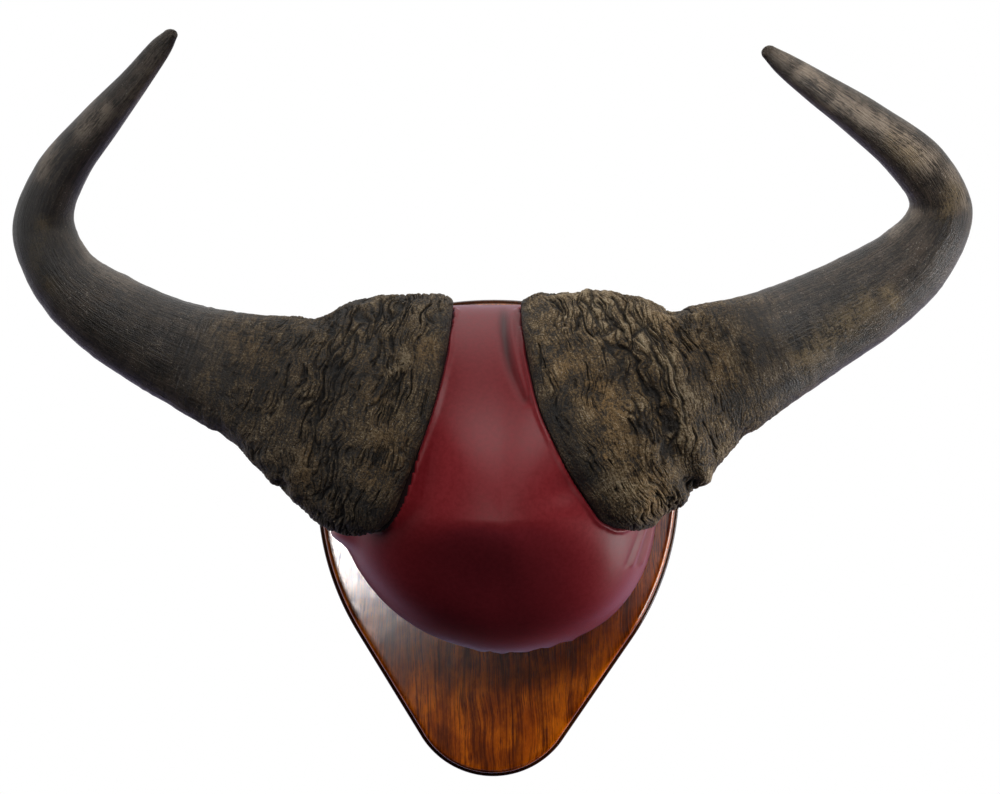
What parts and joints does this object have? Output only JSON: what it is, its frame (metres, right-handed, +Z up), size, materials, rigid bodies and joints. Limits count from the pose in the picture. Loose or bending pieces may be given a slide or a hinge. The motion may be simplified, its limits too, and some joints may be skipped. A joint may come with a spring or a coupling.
{
  "type": "mounted buffalo horns",
  "caption": "Pair of broad-based curved buffalo horns on a leather-covered forehead form and a moulded wooden wall shield.",
  "frame": {"origin": "centre of the wooden shield's flat back, which lies against the wall", "axes": "+Z up the wall, +X to the right seen from the front, +Y into the wall, so the horns face -Y"},
  "size_m": [0.971, 0.2029, 0.7522],
  "materials": {
    "horn": "weathered dark brown horn, cracked like bark at the base and fibrous towards the points",
    "leather": "smooth burgundy leather, soft satin sheen",
    "block_wood": "plain sawn softwood",
    "varnished_wood": "glossy varnished walnut tone with dark streaks",
    "hanger_steel": "zinc plated",
    "screw_steel": "zinc plated"
  },
  "bodies": {
    "root": {"left_horn": "horn", "right_horn": "horn", "leather_cover": "leather", "forehead_block": "block_wood", "shield_plaque": "varnished_wood", "hanger_plate": "hanger_steel", "hanger_screw_1": "screw_steel", "hanger_screw_2": "screw_steel", "block_screw_1": "screw_steel", "block_screw_2": "screw_steel", "block_screw_3": "screw_steel"}
  },
  "joints": []
}
